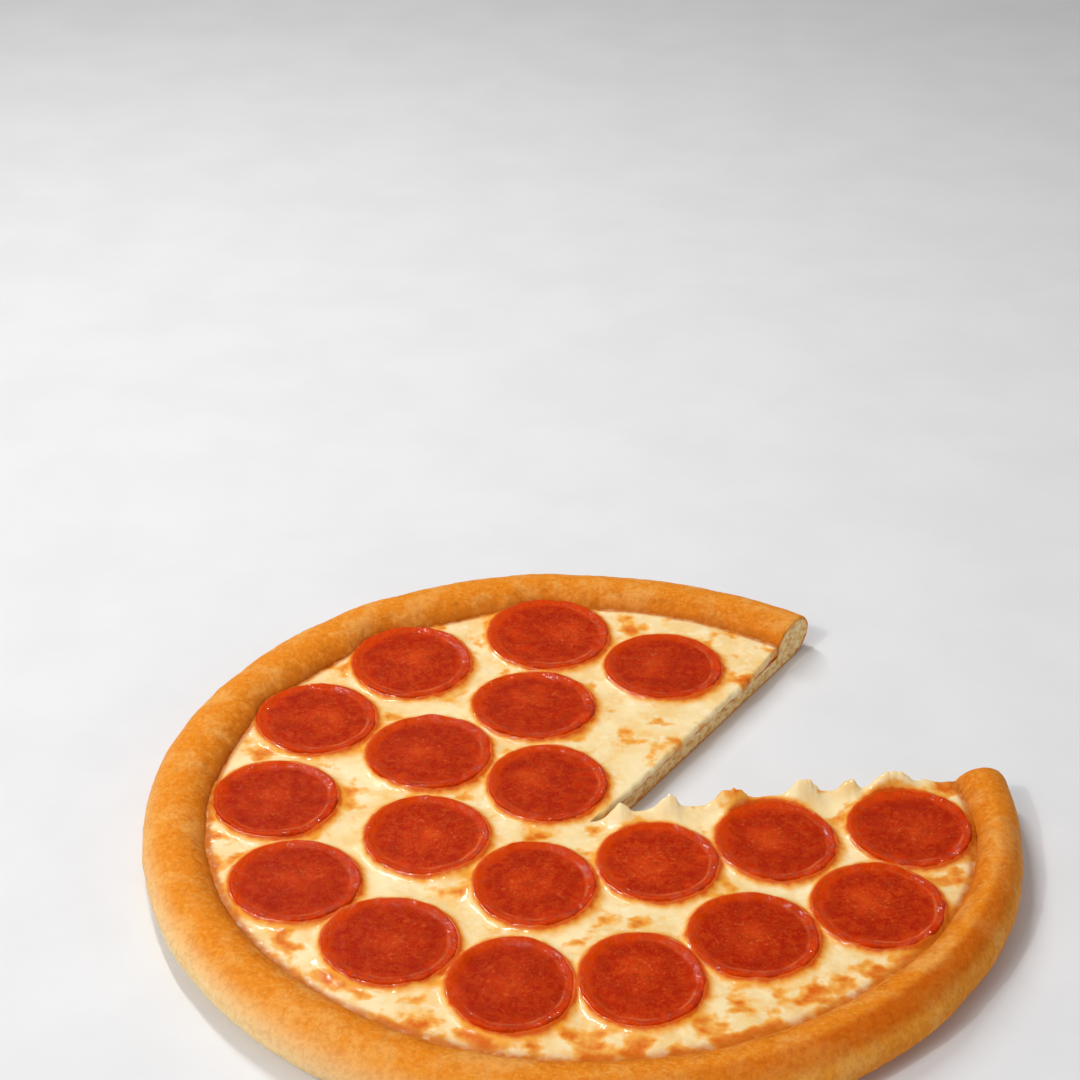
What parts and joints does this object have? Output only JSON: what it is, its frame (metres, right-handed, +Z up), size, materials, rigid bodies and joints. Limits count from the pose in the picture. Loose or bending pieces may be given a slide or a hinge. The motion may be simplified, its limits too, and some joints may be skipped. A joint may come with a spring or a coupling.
{
  "type": "pepperoni pizza",
  "caption": "Round baked pizza with a puffed dough rim, melted cheese and pepperoni slices, with one wedge-shaped slice taken out.",
  "frame": {"origin": "middle of the whole pizza's round outline, at the dough's flat underside", "axes": "+Z up out of the toppings; +Y away from the side the picture was taken from; the taken slice left a gap that opens towards +X and +Y"},
  "size_m": [0.3002, 0.2992, 0.018],
  "materials": {
    "crust": "baked dough, dry and finely grained",
    "cheese": "melted cheese, softly glossy, browned in spots",
    "pepperoni": "cured sausage, oily, with a raised edge"
  },
  "bodies": {
    "root": {"crust": "crust", "cheese": "cheese", "pepperoni_01": "pepperoni", "pepperoni_02": "pepperoni", "pepperoni_03": "pepperoni", "pepperoni_04": "pepperoni", "pepperoni_05": "pepperoni", "pepperoni_06": "pepperoni", "pepperoni_07": "pepperoni", "pepperoni_08": "pepperoni", "pepperoni_09": "pepperoni", "pepperoni_10": "pepperoni", "pepperoni_11": "pepperoni", "pepperoni_12": "pepperoni", "pepperoni_13": "pepperoni", "pepperoni_14": "pepperoni", "pepperoni_15": "pepperoni", "pepperoni_16": "pepperoni", "pepperoni_17": "pepperoni", "pepperoni_18": "pepperoni", "pepperoni_19": "pepperoni"}
  },
  "joints": []
}
